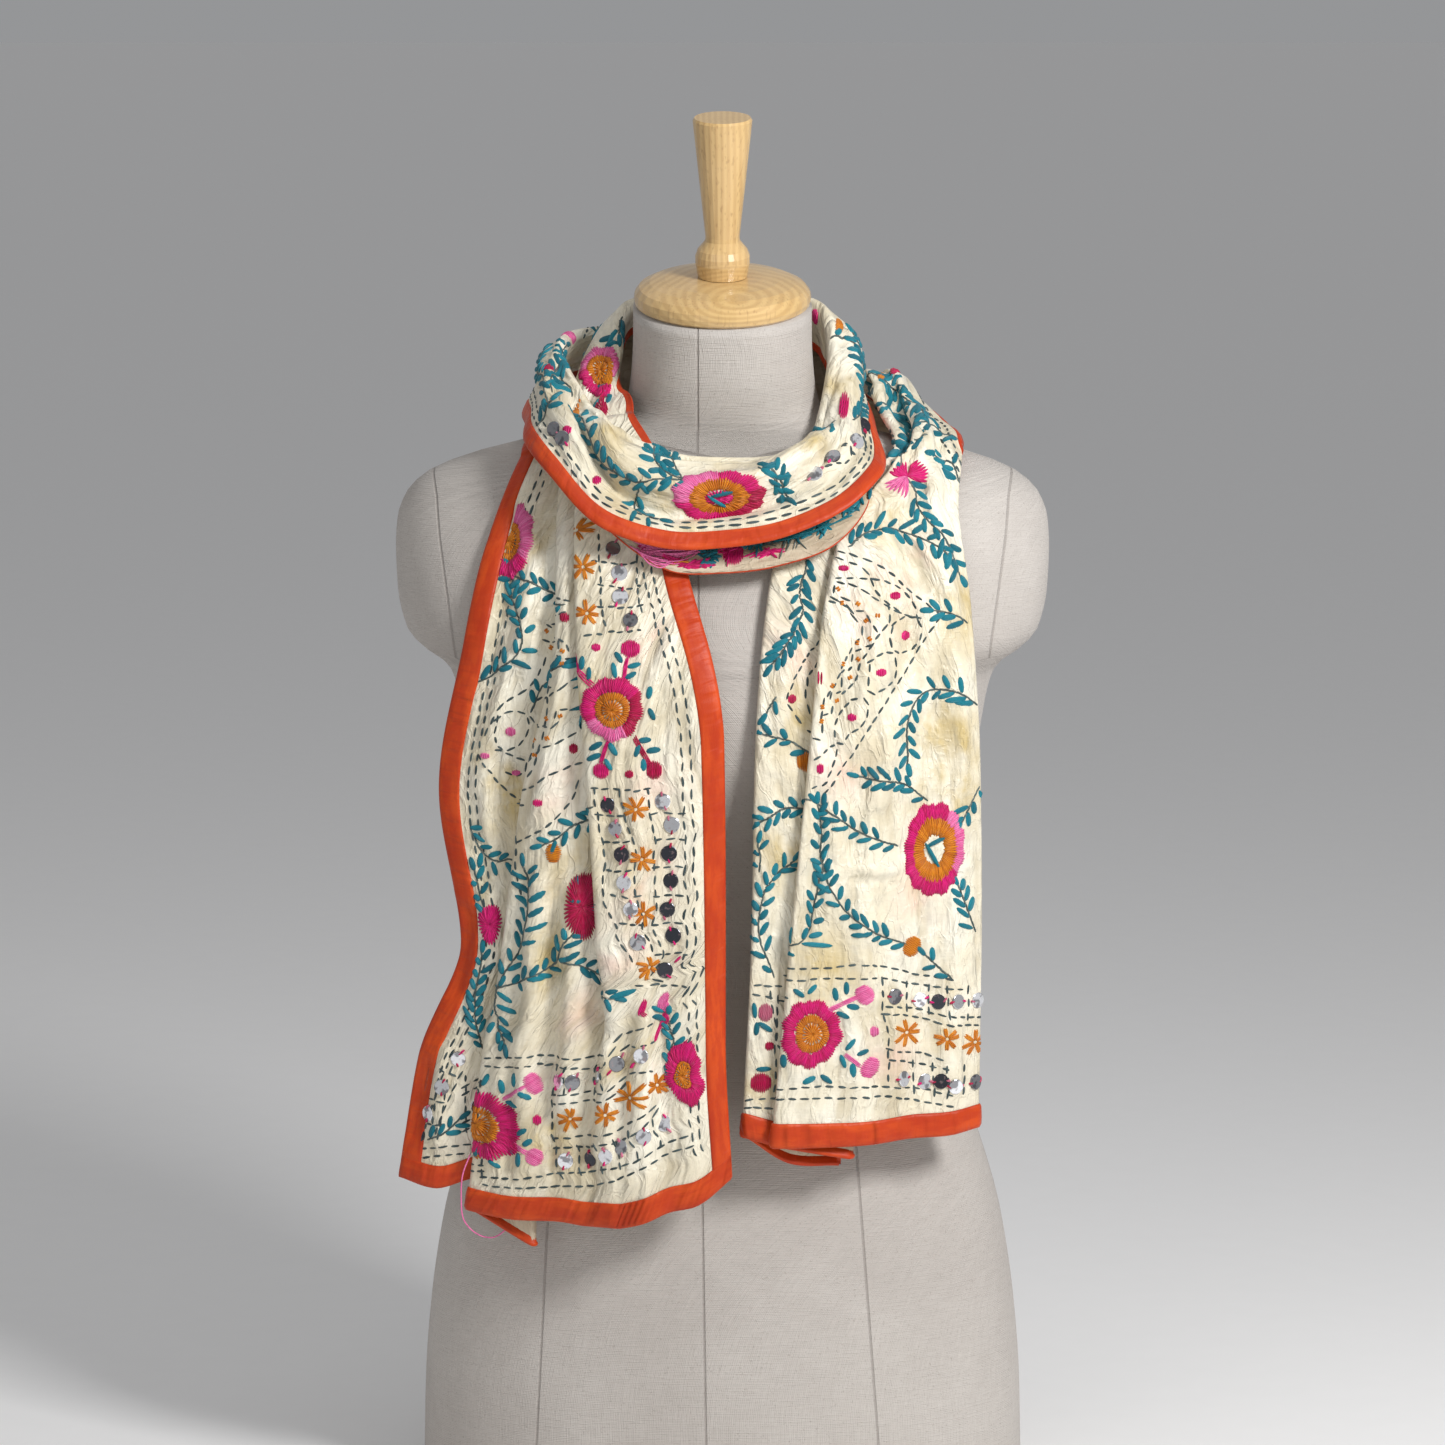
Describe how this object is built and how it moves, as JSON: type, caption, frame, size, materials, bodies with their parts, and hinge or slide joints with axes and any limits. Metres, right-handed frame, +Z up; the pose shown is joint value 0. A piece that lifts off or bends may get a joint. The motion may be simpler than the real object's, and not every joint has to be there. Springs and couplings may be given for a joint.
{
  "type": "embroidered stole on dress form",
  "caption": "Long bound stole wound once round the neck of a limbless dress form with a wooden neck cap and handle, both ends hanging in front.",
  "frame": {"origin": "middle of the dress form's flat underside", "axes": "+Z up, -Y towards the viewer of the form's front, +X to that viewer's right"},
  "size_m": [0.4024, 0.2849, 0.8496],
  "materials": {
    "cream_cloth": "fine soft weave with a slight sheen",
    "orange_binding": "smooth satin",
    "form_linen": "matt woven linen",
    "pale_wood": "clear varnish"
  },
  "bodies": {
    "root": {"back_wrap": "cream_cloth", "back_wrap_inner_binding": "orange_binding", "back_wrap_outer_binding": "orange_binding", "form_body": "form_linen", "front_loop": "cream_cloth", "front_loop_inner_binding": "orange_binding", "front_loop_outer_binding": "orange_binding", "handle": "pale_wood", "inner_wrap": "cream_cloth", "inner_wrap_inner_binding": "orange_binding", "inner_wrap_outer_binding": "orange_binding", "left_tail": "cream_cloth", "left_tail_end_binding": "orange_binding", "left_tail_inner_binding": "orange_binding", "left_tail_outer_binding": "orange_binding", "neck_cap": "pale_wood", "right_tail": "cream_cloth", "right_tail_end_binding": "orange_binding", "right_tail_inner_binding": "orange_binding", "right_tail_outer_binding": "orange_binding"}
  },
  "joints": []
}
